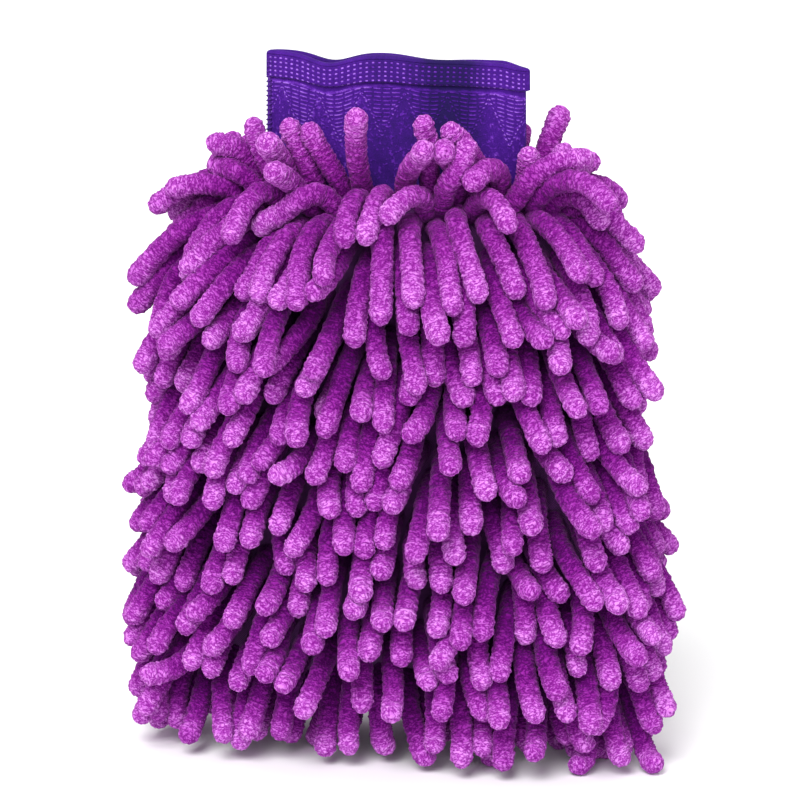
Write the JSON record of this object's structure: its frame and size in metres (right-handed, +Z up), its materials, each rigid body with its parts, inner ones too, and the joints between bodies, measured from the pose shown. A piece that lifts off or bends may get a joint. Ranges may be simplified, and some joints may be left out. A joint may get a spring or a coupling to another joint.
{
  "type": "wash mitt",
  "caption": "Flat hand mitt covered front and back in chenille noodles, with an inner lining and an elastic knit cuff whose front and back walls open for the hand.",
  "frame": {"origin": "centre of the overall box in plan, on the surface the mitt stands on", "axes": "+Z up through the cuff mouth, +X to the right seen from the front, -Y out of the front panel"},
  "size_m": [0.213, 0.1006, 0.265],
  "materials": {
    "chenille": "deep pile microfibre chenille, magenta purple",
    "base_cloth": "matt woven backing",
    "lining": "smooth thin polyester",
    "knit_cuff": "ribbed jacquard knit, violet",
    "elastic": "covered rubber elastic",
    "thread": "overlock thread"
  },
  "bodies": {
    "pouch": {"front_base_cloth": "base_cloth", "back_base_cloth": "base_cloth", "front_lining": "lining", "back_lining": "lining", "panel_seam_allowance": "base_cloth", "cuff_join_stitching": "thread", "front_chenille_row_01": "chenille", "front_chenille_row_02": "chenille", "front_chenille_row_03": "chenille", "front_chenille_row_04": "chenille", "front_chenille_row_05": "chenille", "front_chenille_row_06": "chenille", "front_chenille_row_07": "chenille", "front_chenille_row_08": "chenille", "front_chenille_row_09": "chenille", "front_chenille_row_10": "chenille", "front_chenille_row_11": "chenille", "front_chenille_row_12": "chenille", "back_chenille_row_01": "chenille", "back_chenille_row_02": "chenille", "back_chenille_row_03": "chenille", "back_chenille_row_04": "chenille", "back_chenille_row_05": "chenille", "back_chenille_row_06": "chenille", "back_chenille_row_07": "chenille", "back_chenille_row_08": "chenille", "back_chenille_row_09": "chenille", "back_chenille_row_10": "chenille", "back_chenille_row_11": "chenille", "back_chenille_row_12": "chenille", "front_crown_chenille": "chenille", "back_crown_chenille": "chenille"},
    "cuff_front": {"cuff_front_wall": "knit_cuff", "cuff_front_hem": "knit_cuff", "cuff_front_elastic": "elastic", "cuff_side_seam": "thread"},
    "cuff_back": {"cuff_back_wall": "knit_cuff", "cuff_back_hem": "knit_cuff", "cuff_back_elastic": "elastic"}
  },
  "joints": [
    {"name": "cuff_opens_front", "type": "hinge", "parent": "pouch", "child": "cuff_front", "pos_m": [0, -0.0103, 0.2135], "axis": [1, 0, 0], "range_deg": [0, 18], "stiffness_Nm_per_rad": 0.5},
    {"name": "cuff_opens_back", "type": "hinge", "parent": "pouch", "child": "cuff_back", "pos_m": [0, 0.0103, 0.2135], "axis": [-1, 0, 0], "range_deg": [0, 18], "stiffness_Nm_per_rad": 0.5}
  ],
  "couplings": [
    {"joint": "cuff_opens_back", "follows": "cuff_opens_front", "ratio": 1}
  ]
}
